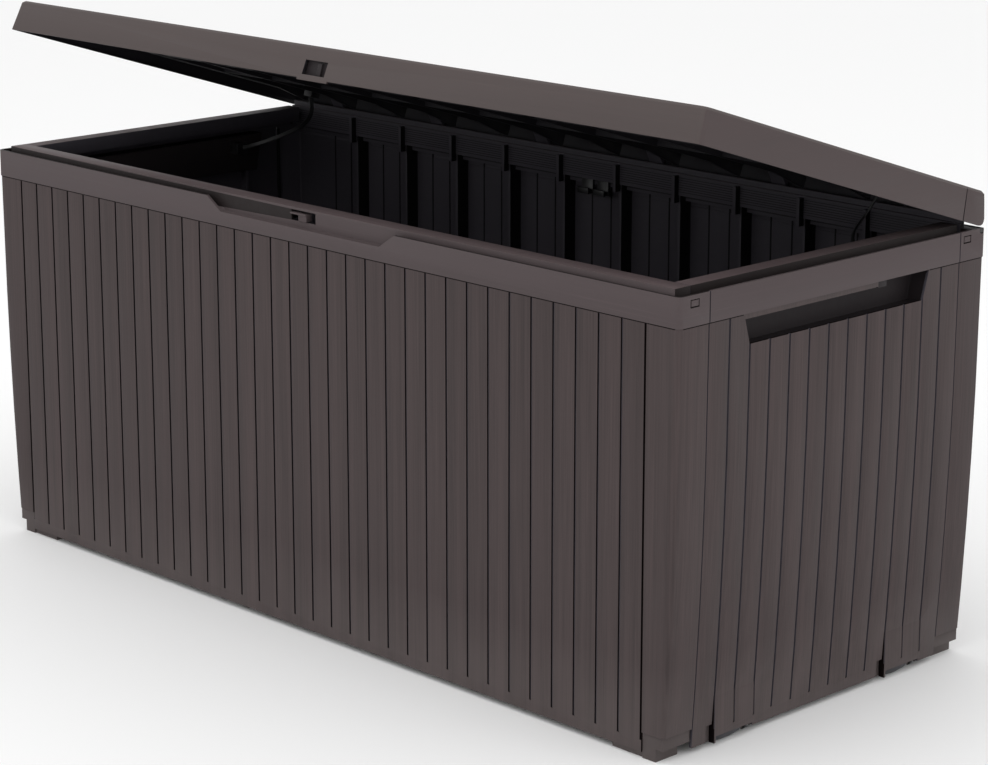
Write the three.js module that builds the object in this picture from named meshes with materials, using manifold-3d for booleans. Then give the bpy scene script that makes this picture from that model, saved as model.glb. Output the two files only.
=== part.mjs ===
// Storage bench: a moulded resin box with planked walls and a lid that turns on a rod along the back.
// Millimetres. X runs along the width, -Y is the front, +Z is up, and Z = 0 is the floor.
import * as THREE from 'three';
import { mergeVertices } from 'three/addons/utils/BufferGeometryUtils.js';
import Module from 'manifold-3d';

const wasm = await Module();
wasm.setup();

// ---------------------------------------------------------------- driving dimensions
const WIDTH = 1230;
const DEPTH = 528;
const HALF_W = WIDTH / 2;
const HALF_D = DEPTH / 2;
const GAP = 0.35; // clearance between pieces that touch

// Walls
const WALL = 3.5;
const WALL_FOOT = 7; // lower edge of the planked walls
const STRIP_FOOT = 30; // lower edge of the corner strips
const BAND_FOOT = 491; // the planks end here and the plain band starts
const BAND_TOP = 525.5;
const BAND_STEP = 1; // the band stands proud of the planks
const BOW = 16; // how far the end walls pull in at the foot
const BOW_POWER = 2.2;
const BOW_STEPS = 6;
const CORNER_RADIUS = 6;
const CORNER_STEPS = 4;
const RETURN_END = 216; // the corner returns end at this |Y|
const SEAM = 0.8; // half of the seam between a return and an end wall

// Planks
const LONG_PITCH = 34.3;
const LONG_GROOVES = 34;
const END_PITCH = 33.2;
const END_GROOVES = 12;
const GROOVE_WIDTH = 2.9;
const GROOVE_DEPTH = 1.9;
const GROOVE_FOOT = 21;

// Rim: gutter behind the band, then a raised hollow rim around the mouth
const GUTTER_FLOOR = 506;
const RIM_TOP = 531;
const RIM_SKIN = 3;
const RIM_FOOT = 512;
const LONG_RIM = [230, 254]; // |Y| range of the front rim
const REAR_LIP = [236, 239]; // Y range of the lip along the rear of the mouth
const REAR_DECK_FOOT = 511;
const REAR_FLANGE = { y: [240, 243], top: 538 }; // closes the slot in front of the hinge
const REAR_RIB = { front: 228, top: 529 };
const END_RIM = [576, 599]; // |X| range of the end rims

// Inside
const RIB_THICKNESS = 5;
const RIB_DEPTH = 20;
const END_RIB_DEPTH = 12;
const RIB_FOOT = 24;
const RIB_SPACING = 3 * LONG_PITCH;
const LEDGE_FOOT = 494;
const LEDGE_DEPTH = 10;
const HOOK_TOP = 502.5;

// Finger recess and latch keeper in the front band
const RECESS_TOP_HALF = 173;
const RECESS_FOOT_HALF = 145;
const RECESS_FOOT = 508.5;
const KEEPER_WINDOW = { half: 22, foot: 515, top: 528 };
const KEEPER_POST = [-8, 7];
const KEEPER_LIP = [523, 525];

// Handle hole and the cup behind it
const HANDLE_FOOT = 456.5;
const HANDLE_FOOT_HALF = 150;
const HANDLE_TOP_HALF = 160;
const GRIP_FOOT = 485;
const GRIP_END = 68;
const CUP_BACK = 586;
const CUP_SKIN = 2.5;
const CUP_FRONT = 610.1;

// Snap tabs of the end walls in the corner returns
const SNAP_WINDOW = { frontY: -240, rearY: 229, width: 14, foot: 511.5, top: 520.5 };

// Hinge
const HINGE_Y = 256;
const HINGE_Z = 523;
const ROD_RADIUS = 3.5;
const ROD_BORE = 3.9;
const ROD_HALF = 614.5;
const KNUCKLE_RADIUS = 6.5;
const KNUCKLE_SPACING = 206;
const LID_KNUCKLE_HALF = 11;
const POCKET_HALF = 12;
const POCKET_FLOOR = 514.5;
const POCKET_FRONT = 247.5;
const BODY_KNUCKLE = 16;

// Lid, given as it lies when closed
const LID_OPEN_DEG = 17.7;
const LID_FOOT = 527;
const LID_TOP = 567.5;
const LID_REAR = 258;
const LID_DRAFT = 4;
const LID_REAR_DRAFT = 7.5;
const LID_SKIN = 3;
const LID_EDGE = 3;
const LID_CORNER = 8;
const LID_SEAM = { y: 216, width: 1.8, depth: 1 };
const LID_REAR_ROUND = 10;
const LID_REAR_FOOT = 532;
const LINER_TOP = 564.2;
const LINER_SKIN = 2.6;
const LINER_RIB_FOOT = 543;
const LINER_X = 604;
const LINER_Y = [-254, 232];
const RAMP = { start: 172, foot: 534.5 };
const LATCH_DIP = { half: 27, foot: 524.5 }; // the skirt hangs lower round the latch
const LATCH_WINDOW = { half: 20, foot: 531.5, top: 549.5 };

// Straps
const ANCHOR = { x: 508, y: [179, 195], foot: 537, half: 8 };
const SOCKET = { y: [108, 126], z: [478, 494], inner: 568 };
const STRAP_POINTS = [
  [508, 194, 556],
  [500, 187, 537],
  [498, 172, 523],
  [505, 156, 514],
  [520, 141, 505],
  [540, 128, 496],
  [566.5, 117, 487],
];
const STRAP_HALF_WIDTH = 3;
const STRAP_HALF_THICKNESS = 1.2;

// Base
const PAN_X = 593;
const PAN_Y = 258.8;
const PAN_Z = [15, 19];
const FOOT_X = [520, 587];
const FOOT_Y = [226, 259];
const CORNER_BLOCK_X = 567.5;
const CORNER_BLOCK_Y = [217.5, 261.3];
const CORNER_BLOCK_FACE = 597; // |X| of its outer face

// Rollers under the right end
const ROLLER_Y = [-153.5, 9 * END_PITCH - 153.5]; // nine planks apart
const ROLLER = { x: 588, z: 10.3, half: 23.5, radius: 10, endRadius: 7.5, bore: 3 };
const AXLE_RADIUS = 2.5;
const COVER = { face: 601.5, skin: 2.3, top: 60, foot: 12, before: 28, after: 39.5, well: 29 };
const COVER_WEB = { width: 2.5, foot: 4 };
const SCOOP = { x: 604, radius: 13, top: 27, thickened: 18 };

const DEG = Math.PI / 180;

// ---------------------------------------------------------------- solids
function solid(geometry) {
  geometry.deleteAttribute('normal');
  geometry.deleteAttribute('uv');
  const merged = mergeVertices(geometry, 1e-4);
  const mesh = new wasm.Mesh({
    numProp: 3,
    vertProperties: new Float32Array(merged.attributes.position.array),
    triVerts: new Uint32Array(merged.index.array),
  });
  return new wasm.Manifold(mesh);
}

function geometryOf(manifold) {
  const mesh = manifold.getMesh();
  const geometry = new THREE.BufferGeometry();
  geometry.setAttribute('position', new THREE.BufferAttribute(new Float32Array(mesh.vertProperties), 3));
  geometry.setIndex(new THREE.BufferAttribute(new Uint32Array(mesh.triVerts), 1));
  geometry.computeVertexNormals();
  return geometry;
}

function join(parts) {
  return parts.reduce((whole, part) => whole.add(part));
}

function cut(body, tools) {
  return tools.reduce((rest, tool) => rest.subtract(tool), body);
}

function block([x0, x1], [y0, y1], [z0, z1]) {
  const geometry = new THREE.BoxGeometry(x1 - x0, y1 - y0, z1 - z0);
  geometry.translate((x0 + x1) / 2, (y0 + y1) / 2, (z0 + z1) / 2);
  return solid(geometry);
}

function extrude(points, length, basis, origin) {
  const shape = new THREE.Shape(points.map(([a, b]) => new THREE.Vector2(a, b)));
  const geometry = new THREE.ExtrudeGeometry(shape, { depth: length, bevelEnabled: false });
  geometry.applyMatrix4(basis);
  geometry.translate(...origin);
  return solid(geometry);
}

const X_AXIS = new THREE.Vector3(1, 0, 0);
const Y_AXIS = new THREE.Vector3(0, 1, 0);
const Z_AXIS = new THREE.Vector3(0, 0, 1);
const ALONG_X = new THREE.Matrix4().makeBasis(Y_AXIS, Z_AXIS, X_AXIS);
const ALONG_Y = new THREE.Matrix4().makeBasis(X_AXIS, Z_AXIS, Y_AXIS.clone().negate());

// A prism along X whose outline is given as [y, z] points.
function prismX(points, [x0, x1]) {
  return extrude(points, x1 - x0, ALONG_X, [x0, 0, 0]);
}

// A prism along Y whose outline is given as [x, z] points.
function prismY(points, [y0, y1]) {
  return extrude(points, y1 - y0, ALONG_Y, [0, y1, 0]);
}

// A closed body through convex outlines of equal point count.
// Each outline is { z, points }, counter-clockwise from above.
function loft(sections) {
  const count = sections[0].points.length;
  const positions = sections.flatMap(({ z, points }) => points.flatMap(([x, y]) => [x, y, z]));
  const index = [];
  for (let level = 0; level + 1 < sections.length; level += 1) {
    for (let i = 0; i < count; i += 1) {
      const next = (i + 1) % count;
      const [a, b] = [level * count + i, level * count + next];
      index.push(a, b, b + count, a, b + count, a + count);
    }
  }
  const top = (sections.length - 1) * count;
  for (let i = 1; i + 1 < count; i += 1) {
    index.push(0, i + 1, i, top, top + i, top + i + 1);
  }
  const geometry = new THREE.BufferGeometry();
  geometry.setAttribute('position', new THREE.BufferAttribute(new Float32Array(positions), 3));
  geometry.setIndex(index);
  return solid(geometry);
}

// A rectangle centred on X with its four corners rounded.
function roundedOutline(halfX, [y0, y1], radius) {
  const centres = [
    [radius - halfX, y0 + radius],
    [halfX - radius, y0 + radius],
    [halfX - radius, y1 - radius],
    [radius - halfX, y1 - radius],
  ];
  return centres.flatMap(([x, y], corner) => {
    return indices(CORNER_STEPS + 1).map((step) => {
      const angle = (2 + corner + step / CORNER_STEPS) * (Math.PI / 2);
      return [x + radius * Math.cos(angle), y + radius * Math.sin(angle)];
    });
  });
}

function rodX(radius, y, z, [x0, x1], sides = 20) {
  const geometry = new THREE.CylinderGeometry(radius, radius, x1 - x0, sides);
  geometry.rotateZ(-Math.PI / 2);
  geometry.translate((x0 + x1) / 2, y, z);
  return solid(geometry);
}

function rodY(radius, x, z, [y0, y1], sides = 20) {
  const geometry = new THREE.CylinderGeometry(radius, radius, y1 - y0, sides);
  geometry.translate(x, (y0 + y1) / 2, z);
  return solid(geometry);
}

// The range between two values, mirrored when side is -1.
function span(side, a, b) {
  return [side * a, side * b].sort((low, high) => low - high);
}

function mirrorX(points) {
  return points.map(([x, z]) => [-x, z]);
}

// ---------------------------------------------------------------- bowed envelope of the walls
function bowAt(z) {
  const share = (BAND_FOOT - Math.max(z, WALL_FOOT)) / (BAND_FOOT - WALL_FOOT);
  return BOW * Math.max(share, 0) ** BOW_POWER;
}

// Points down the right-hand face, from high to low, the given depth inside the outer face.
function bowedFace(offset, low, high) {
  const points = [[HALF_W - offset - bowAt(high), high]];
  for (let i = 0; i <= BOW_STEPS; i += 1) {
    const z = BAND_FOOT + (WALL_FOOT - BAND_FOOT) * (i / BOW_STEPS);
    if (z < high && z > low) {
      points.push([HALF_W - offset - bowAt(z), z]);
    }
  }
  points.push([HALF_W - offset - bowAt(low), low]);
  return points;
}

function envelope(offset, [low, high], range) {
  const right = bowedFace(offset, low, high);
  return prismY([...right, ...mirrorX(right).reverse()], range);
}

// The bowed envelope with rounded vertical corners, from the front face to as far behind the middle.
function roundedEnvelope(offset, [low, high], face) {
  const sections = bowedFace(offset, low, high)
    .reverse()
    .map(([halfX, z]) => ({ z, points: roundedOutline(halfX, [face, -face], CORNER_RADIUS - offset * 0.8) }));
  return loft(sections);
}

// ---------------------------------------------------------------- pieces of the walls
function longGrooveX(index) {
  return (index - (LONG_GROOVES - 1) / 2) * LONG_PITCH;
}

function endGrooveY(index) {
  return (index - (END_GROOVES - 1) / 2) * END_PITCH;
}

function indices(count) {
  return Array.from({ length: count }, (_, index) => index);
}

// Inside ribs stand at every third groove of the long walls.
function ribPositions() {
  return [0.5, 1.5, 2.5, 3.5, 4.5].flatMap((n) => [-n * RIB_SPACING, n * RIB_SPACING]);
}

// The band's rounded block, the given depth inside its outer face.
function bandBlank(offset, [low, high]) {
  const radius = CORNER_RADIUS - offset * 0.8;
  const points = roundedOutline(HALF_W - offset, [offset - HALF_D, HALF_D - offset], radius);
  return loft([{ z: low, points }, { z: high, points }]);
}

// Long wall with its corner returns, seen as the front wall: planks, band, gutter and inside ribs.
function longWall() {
  const face = -HALF_D + BAND_STEP;
  const returnEnd = -RETURN_END - SEAM;
  const front = block([-HALF_W - 5, HALF_W + 5], [-HALF_D - 5, returnEnd], [0, 600]);
  const planks = roundedEnvelope(BAND_STEP, [WALL_FOOT, BAND_FOOT], face);
  const band = bandBlank(0, [BAND_FOOT, BAND_TOP]);
  const hollow = roundedEnvelope(BAND_STEP + WALL, [-5, BAND_FOOT - WALL], face + WALL);
  const bandHollow = bandBlank(WALL, [BAND_FOOT - WALL - 1, 600]);
  const stripStart = longGrooveX(LONG_GROOVES - 1) + 1;
  const strips = [-1, 1].map((side) => {
    return block(span(side, stripStart, HALF_W), [-HALF_D - 1, 0], [-5, STRIP_FOOT]);
  });
  const grooves = indices(LONG_GROOVES).map((index) => {
    const x = longGrooveX(index);
    const half = GROOVE_WIDTH / 2;
    return block([x - half, x + half], [face - 1, face + GROOVE_DEPTH], [GROOVE_FOOT, BAND_FOOT]);
  });
  const shell = cut(planks.add(band).intersect(front), [hollow, bandHollow, ...strips, ...grooves]);
  const inner = face + WALL - 0.2;
  const ribs = ribPositions().map((x) => {
    const half = RIB_THICKNESS / 2;
    return block([x - half, x + half], [inner, inner + RIB_DEPTH], [RIB_FOOT, GUTTER_FLOOR - RIM_SKIN]);
  });
  const ledgeX = [-590, 590];
  const ledge = block(ledgeX, [inner, inner + LEDGE_DEPTH], [LEDGE_FOOT, LEDGE_FOOT + RIM_SKIN]);
  const ledgeFace = block(
    ledgeX,
    [inner + LEDGE_DEPTH - RIM_SKIN, inner + LEDGE_DEPTH],
    [LEDGE_FOOT, GUTTER_FLOOR],
  );
  const floor = [GUTTER_FLOOR - RIM_SKIN, GUTTER_FLOOR];
  const floorRing = bandBlank(WALL - 0.2, floor).intersect(front);
  const mouthX = [-END_RIM[1] - GAP, END_RIM[1] + GAP];
  const mouth = block(mouthX, [-LONG_RIM[1] + RIM_SKIN, 0], [0, 600]);
  return join([shell, ...ribs, ledge, ledgeFace, floorRing.subtract(mouth)]);
}

// Hollow rim along X: outer wall, top and inner lip, between |Y| values inner and outer.
function longRim([inner, outer]) {
  const wallFoot = GUTTER_FLOOR - RIM_SKIN;
  const outline = [
    [-outer, wallFoot],
    [-outer + RIM_SKIN, wallFoot],
    [-outer + RIM_SKIN, RIM_TOP - RIM_SKIN],
    [-inner - RIM_SKIN, RIM_TOP - RIM_SKIN],
    [-inner - RIM_SKIN, RIM_FOOT],
    [-inner, RIM_FOOT],
    [-inner, RIM_TOP],
    [-outer, RIM_TOP],
  ];
  return prismX(outline, [-END_RIM[1], END_RIM[1]]);
}

function snapWindow(side, y) {
  const half = SNAP_WINDOW.width / 2;
  return block(span(side, HALF_W - 6, HALF_W + 2), [y - half, y + half], [SNAP_WINDOW.foot, SNAP_WINDOW.top]);
}

function frontPanel() {
  const seatY = [WALL - HALF_D - 0.2, -LONG_RIM[1] + RIM_SKIN];
  const seat = block([-180, 180], seatY, [GUTTER_FLOOR - RIM_SKIN, 512]);
  const recess = prismY(
    [
      [-RECESS_FOOT_HALF, RECESS_FOOT],
      [RECESS_FOOT_HALF, RECESS_FOOT],
      [RECESS_TOP_HALF, BAND_TOP + 1],
      [-RECESS_TOP_HALF, BAND_TOP + 1],
    ],
    [-HALF_D - 1, -LONG_RIM[1]],
  );
  const { half, foot, top } = KEEPER_WINDOW;
  const keeperWindow = block([-half, half], [-LONG_RIM[1] - 1, -LONG_RIM[1] + 4], [foot, top]);
  const windows = [-1, 1].map((side) => snapWindow(side, SNAP_WINDOW.frontY));
  const rimEnds = [-1, 1].map((side) => {
    const ends = span(side, END_RIM[1] - RIM_SKIN, END_RIM[1]);
    return block(ends, [-LONG_RIM[1], -LONG_RIM[0]], [GUTTER_FLOOR - RIM_SKIN, RIM_TOP]);
  });
  return cut(join([longWall(), longRim(LONG_RIM), ...rimEnds, seat]), [recess, keeperWindow, ...windows]);
}

function knucklePositions() {
  return indices(6).map((index) => (index - 2.5) * KNUCKLE_SPACING);
}

function backPanel() {
  const turned = longWall().rotate([0, 0, 180]);
  const lip = block([-END_RIM[1], END_RIM[1]], REAR_LIP, [GUTTER_FLOOR - RIM_SKIN, RIM_TOP]);
  const chamfer = 4;
  const deck = block([4 - HALF_W, HALF_W - 4], [REAR_LIP[0] + 1, HALF_D - 1.5], [REAR_DECK_FOOT, BAND_TOP]);
  const rearEdge = prismX(
    [
      [HALF_D + 1, BAND_TOP - chamfer - 1],
      [HALF_D + 1, BAND_TOP + 1],
      [HALF_D - chamfer - 1, BAND_TOP + 1],
    ],
    [-HALF_W - 1, HALF_W + 1],
  );
  const knuckles = knucklePositions().flatMap((x) => [
    rodX(KNUCKLE_RADIUS, HINGE_Y, HINGE_Z, [x - POCKET_HALF - BODY_KNUCKLE, x - POCKET_HALF]),
    rodX(KNUCKLE_RADIUS, HINGE_Y, HINGE_Z, [x + POCKET_HALF, x + POCKET_HALF + BODY_KNUCKLE]),
  ]);
  const pockets = knucklePositions().map((x) => {
    return block([x - POCKET_HALF, x + POCKET_HALF], [POCKET_FRONT, HALF_D + 2], [POCKET_FLOOR, 545]);
  });
  const bore = rodX(ROD_BORE, HINGE_Y, HINGE_Z, [-HALF_W - 1, HALF_W + 1]);
  const windows = [-1, 1].map((side) => snapWindow(side, SNAP_WINDOW.rearY));
  const flange = block([-END_RIM[1], END_RIM[1]], REAR_FLANGE.y, [REAR_DECK_FOOT, REAR_FLANGE.top]);
  const upperRibs = ribPositions().map((x) => {
    const half = RIB_THICKNESS / 2;
    return block([x - half, x + half], [REAR_RIB.front, REAR_LIP[0] + 1], [LEDGE_FOOT, REAR_RIB.top]);
  });
  const body = join([cut(join([turned, lip, deck]), [rearEdge]), flange, ...upperRibs, ...knuckles]);
  return cut(body, [...pockets, bore, ...windows]);
}

// Right-hand end wall. turn is -1 when the wall is turned half round for the left-hand end.
function endWall(withCovers) {
  const halfLength = RETURN_END - SEAM;
  const range = [-halfLength, halfLength];
  const keep = block([0, HALF_W + 5], [-halfLength, halfLength], [-10, 600]);
  const planks = envelope(BAND_STEP, [WALL_FOOT, BAND_FOOT], range);
  const hollow = envelope(BAND_STEP + WALL, [-5, BAND_FOOT - WALL], [-300, 300]);
  const band = block([0, HALF_W], range, [BAND_FOOT, BAND_TOP]);
  const bandHollow = block([-1, HALF_W - WALL], [-300, 300], [BAND_FOOT - WALL - 1, 600]);
  let wall = cut(planks.add(band), [hollow, bandHollow]).intersect(keep);
  const grooves = indices(END_GROOVES).map((index) => {
    const y = endGrooveY(index);
    const top = Math.abs(y) < HANDLE_TOP_HALF ? GRIP_FOOT : BAND_FOOT;
    const grooveFace = bowedFace(BAND_STEP + GROOVE_DEPTH, GROOVE_FOOT, top);
    const beyond = bowedFace(-5, GROOVE_FOOT, top).reverse();
    return prismY([...grooveFace, ...beyond], [y - GROOVE_WIDTH / 2, y + GROOVE_WIDTH / 2]);
  });
  wall = cut(wall, grooves);
  const ribFace = bowedFace(BAND_STEP + WALL - 0.2, RIB_FOOT, 445);
  const ribBack = bowedFace(BAND_STEP + WALL + END_RIB_DEPTH, RIB_FOOT, 445).reverse();
  const ribs = [-1.5, -0.5, 0.5, 1.5].map((n) => {
    const y = n * 3 * END_PITCH;
    return prismY([...ribFace, ...ribBack], [y - RIB_THICKNESS / 2, y + RIB_THICKNESS / 2]);
  });
  const floor = [GUTTER_FLOOR - RIM_SKIN, GUTTER_FLOOR];
  const gutter = block([END_RIM[1] - 1, HALF_W - WALL + 0.2], range, floor);
  const rim = prismY(
    [
      [END_RIM[1], floor[0]],
      [END_RIM[1], RIM_TOP],
      [END_RIM[0], RIM_TOP],
      [END_RIM[0], RIM_FOOT],
      [END_RIM[0] + RIM_SKIN, RIM_FOOT],
      [END_RIM[0] + RIM_SKIN, RIM_TOP - RIM_SKIN],
      [END_RIM[1] - RIM_SKIN, RIM_TOP - RIM_SKIN],
      [END_RIM[1] - RIM_SKIN, floor[0]],
    ],
    [-LONG_RIM[0] + 0.5, LONG_RIM[0] - 0.5],
  );
  wall = cut(join([wall, ...ribs, gutter, rim]), [handleHole()]);
  return withCovers ? addRollerCovers(wall) : wall;
}

function handleHole() {
  const outline = [
    [-HANDLE_FOOT_HALF, HANDLE_FOOT],
    [HANDLE_FOOT_HALF, HANDLE_FOOT],
    [HANDLE_TOP_HALF, BAND_FOOT],
    [GRIP_END, BAND_FOOT],
    [GRIP_END, GRIP_FOOT],
    [-HANDLE_TOP_HALF + 2, GRIP_FOOT],
  ];
  return prismX(outline, [HALF_W - 8, HALF_W + 2]);
}

// Each roller is covered by the foot of the wall, with a hollowed approach beside it.
function addRollerCovers(wall) {
  const inside = COVER.face - COVER.skin;
  const added = ROLLER_Y.flatMap((y) => {
    const outline = [
      [COVER.face, COVER.top],
      [COVER.face, COVER.foot],
      [inside, COVER.foot],
      [inside, COVER.well],
      [596, COVER.well],
      [599, COVER.top],
    ];
    const start = y - COVER.before;
    return [
      prismY(outline, [start, y + COVER.after]),
      block([PAN_X + 0.4, COVER.face], [start, start + COVER_WEB.width], [COVER.foot - 1, COVER.well]),
      block([PAN_X + 0.4, 598], [start - SCOOP.thickened, start + 1], [WALL_FOOT, COVER.well]),
    ];
  });
  const removed = ROLLER_Y.flatMap((y) => {
    const well = [y - COVER.before + COVER_WEB.width, y + COVER.after - 1.5];
    const scoop = new THREE.CylinderGeometry(SCOOP.radius, SCOOP.radius, SCOOP.top + 5, 24);
    scoop.rotateX(Math.PI / 2);
    scoop.translate(SCOOP.x, y - COVER.before, (SCOOP.top - 5) / 2);
    const approach = block([580, 620], [y - COVER.before - 30, y - COVER.before], [-5, SCOOP.top + 5]);
    return [
      block([575, inside], well, [-1, COVER.well]),
      block([575, 620], [well[0], y + COVER.after], [-1, COVER.foot]),
      solid(scoop).intersect(approach),
    ];
  });
  const covered = (y) => ROLLER_Y.some((centre) => y > centre - COVER.before - 2 && y < centre + COVER.after);
  const grooves = indices(END_GROOVES)
    .map(endGrooveY)
    .filter(covered)
    .map((y) => {
      const width = [y - GROOVE_WIDTH / 2, y + GROOVE_WIDTH / 2];
      return block([COVER.face - 1.2, 620], width, [GROOVE_FOOT, COVER.top + 4]);
    });
  const webs = ROLLER_Y.map((y) => {
    const width = [y - COVER.before, y - COVER.before + COVER_WEB.width];
    return block([PAN_X + 0.4, COVER.face], width, [COVER_WEB.foot, COVER.foot]);
  });
  return join([cut(join([wall, ...added]), [...removed, ...grooves]), ...webs]);
}

// ---------------------------------------------------------------- other pieces of the box
function handleCup() {
  const outer = [
    [-HANDLE_FOOT_HALF - 7, HANDLE_FOOT - 7],
    [HANDLE_FOOT_HALF + 7, HANDLE_FOOT - 7],
    [HANDLE_TOP_HALF + 8, 500],
    [-HANDLE_TOP_HALF - 8, 500],
  ];
  const inner = [
    [-HANDLE_FOOT_HALF - 3, HANDLE_FOOT - 3.5],
    [HANDLE_FOOT_HALF + 3, HANDLE_FOOT - 3.5],
    [HANDLE_TOP_HALF + 4, 497],
    [-HANDLE_TOP_HALF - 4, 497],
  ];
  const hollow = prismX(inner, [CUP_BACK + CUP_SKIN, CUP_FRONT + 1]);
  const cup = prismX(outer, [CUP_BACK, CUP_FRONT]).subtract(hollow);
  const clip = block([602, CUP_FRONT], [72, 88], [482, 499]);
  return cup.add(clip);
}

function snapTab(side, y) {
  const half = SNAP_WINDOW.width / 2;
  const sideY = Math.sign(y);
  const armY = span(sideY, RETURN_END + 1, Math.abs(y) + 8);
  const arm = block(span(side, 604, 608), armY, [GUTTER_FLOOR + GAP, 519]);
  const tabZ = [SNAP_WINDOW.foot + 1.2, SNAP_WINDOW.top - 1.2];
  const tab = block(span(side, 607, HALF_W - 0.5), [y - half + 2, y + half - 0.5], tabZ);
  return arm.add(tab);
}

// A post in the window with a thin lip on top that the lid's latch tongue closes over.
function latchKeeper() {
  const back = -LONG_RIM[1] + 7;
  const post = block(KEEPER_POST, [-LONG_RIM[1] - 1.5, back], [KEEPER_WINDOW.foot + GAP, KEEPER_LIP[0] + 1]);
  const lip = block([GAP - KEEPER_WINDOW.half, KEEPER_POST[1]], [-LONG_RIM[1] - 3, back], KEEPER_LIP);
  return post.add(lip);
}

function innerHook(side) {
  const face = HALF_D - BAND_STEP - WALL - LEDGE_DEPTH - GAP;
  const outline = [
    [face, HOOK_TOP],
    [face, 482],
    [face - 12, 482],
    [face - 12, 490],
    [face - 9, 490],
    [face - 9, 485],
    [face - 3, 485],
    [face - 3, HOOK_TOP],
  ];
  return prismX(outline, span(side, 4, 24));
}

function basePan() {
  const plate = block([-PAN_X, PAN_X], [-PAN_Y, PAN_Y], PAN_Z);
  const ribZ = [8, PAN_Z[0] + 1];
  const lengthRibs = [-150, 0, 150].map((y) => block([-585, 560], [y - 2, y + 2], ribZ));
  const crossRibs = [-480, -320, -160, 0, 160, 320, 480].map((x) => block([x - 2, x + 2], [-250, 250], ribZ));
  const feet = [];
  for (const sideX of [-1, 1]) {
    for (const sideY of [-1, 1]) {
      const corner = span(sideX, CORNER_BLOCK_X, FOOT_X[1]);
      const outer = span(sideX, CORNER_BLOCK_X, CORNER_BLOCK_FACE);
      feet.push(block(span(sideX, ...FOOT_X), span(sideY, ...FOOT_Y), [0, PAN_Z[0] + 1]));
      feet.push(block(corner, span(sideY, FOOT_Y[0], CORNER_BLOCK_Y[1]), [0, PAN_Z[0] + 1]));
      feet.push(block(outer, span(sideY, ...CORNER_BLOCK_Y), [PAN_Z[0], STRIP_FOOT - 0.5]));
    }
  }
  const housings = ROLLER_Y.map((y) => block([570, PAN_X], [y - 41, y + 43], [5, 27]));
  const wells = ROLLER_Y.flatMap((y) => [
    block([576.5, 600], [y - ROLLER.half - 1.5, y + ROLLER.half + 1.5], [-1, 23]),
    block([578, 600], [y + ROLLER.half + 4, y + 40.5], [-1, 21]),
    rodY(AXLE_RADIUS + 0.4, ROLLER.x, ROLLER.z, [y - 60, y + 60]),
  ]);
  return cut(join([plate, ...lengthRibs, ...crossRibs, ...feet, ...housings]), wells);
}

function roller(y) {
  const { half, radius, endRadius, bore } = ROLLER;
  const steps = 6;
  const outline = [new THREE.Vector2(bore, -half)];
  for (let i = 0; i <= steps; i += 1) {
    const along = -half + (2 * half * i) / steps;
    outline.push(new THREE.Vector2(radius - (radius - endRadius) * (along / half) ** 2, along));
  }
  outline.push(new THREE.Vector2(bore, half), new THREE.Vector2(bore, -half));
  const geometry = new THREE.LatheGeometry(outline, 24);
  geometry.translate(ROLLER.x, y, ROLLER.z);
  return solid(geometry);
}

function axle(y) {
  return rodY(AXLE_RADIUS, ROLLER.x, ROLLER.z, [y - 34.5, y + 39.5], 12);
}

function axleClip(y) {
  const disc = rodY(8.3, ROLLER.x, ROLLER.z, [y + 30, y + 34]);
  const hub = rodY(5.5, ROLLER.x, ROLLER.z, [y + 33.5, y + 37.5]);
  return disc.add(hub).subtract(rodY(AXLE_RADIUS + 0.35, ROLLER.x, ROLLER.z, [y + 20, y + 60], 12));
}

function strapSocket(side) {
  return block(span(side, SOCKET.inner, CUP_BACK - GAP), SOCKET.y, SOCKET.z);
}

// ---------------------------------------------------------------- pieces of the lid, as it lies closed
function lidBlank(offset, foot, top, edge) {
  const share = (top - foot) / (LID_TOP - LID_FOOT);
  const lean = LID_DRAFT * share;
  const rearLean = LID_REAR_DRAFT * share;
  const front = -HALF_D + offset;
  const rear = LID_REAR - offset;
  const side = HALF_W - offset;
  const round = LID_REAR_ROUND;
  const corner = indices(5).map((index) => {
    const angle = (index / 4 - 1) * (Math.PI / 2);
    return [rear - round + round * Math.cos(angle), foot + round + round * Math.sin(angle)];
  });
  const lengthwise = prismX(
    [
      [front, foot],
      ...corner,
      [rear - rearLean, top - edge],
      [rear - rearLean - edge, top],
      [front + lean + edge, top],
      [front + lean, top - edge],
    ],
    [-HALF_W - 5, HALF_W + 5],
  );
  const plan = (z, inset) => {
    const corner = LID_CORNER - offset * 0.8;
    return { z, points: roundedOutline(side - inset, [front + inset, HALF_D - inset], corner) };
  };
  return lengthwise.intersect(loft([plan(foot, 0), plan(top - edge, lean), plan(top, lean + edge)]));
}

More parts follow.
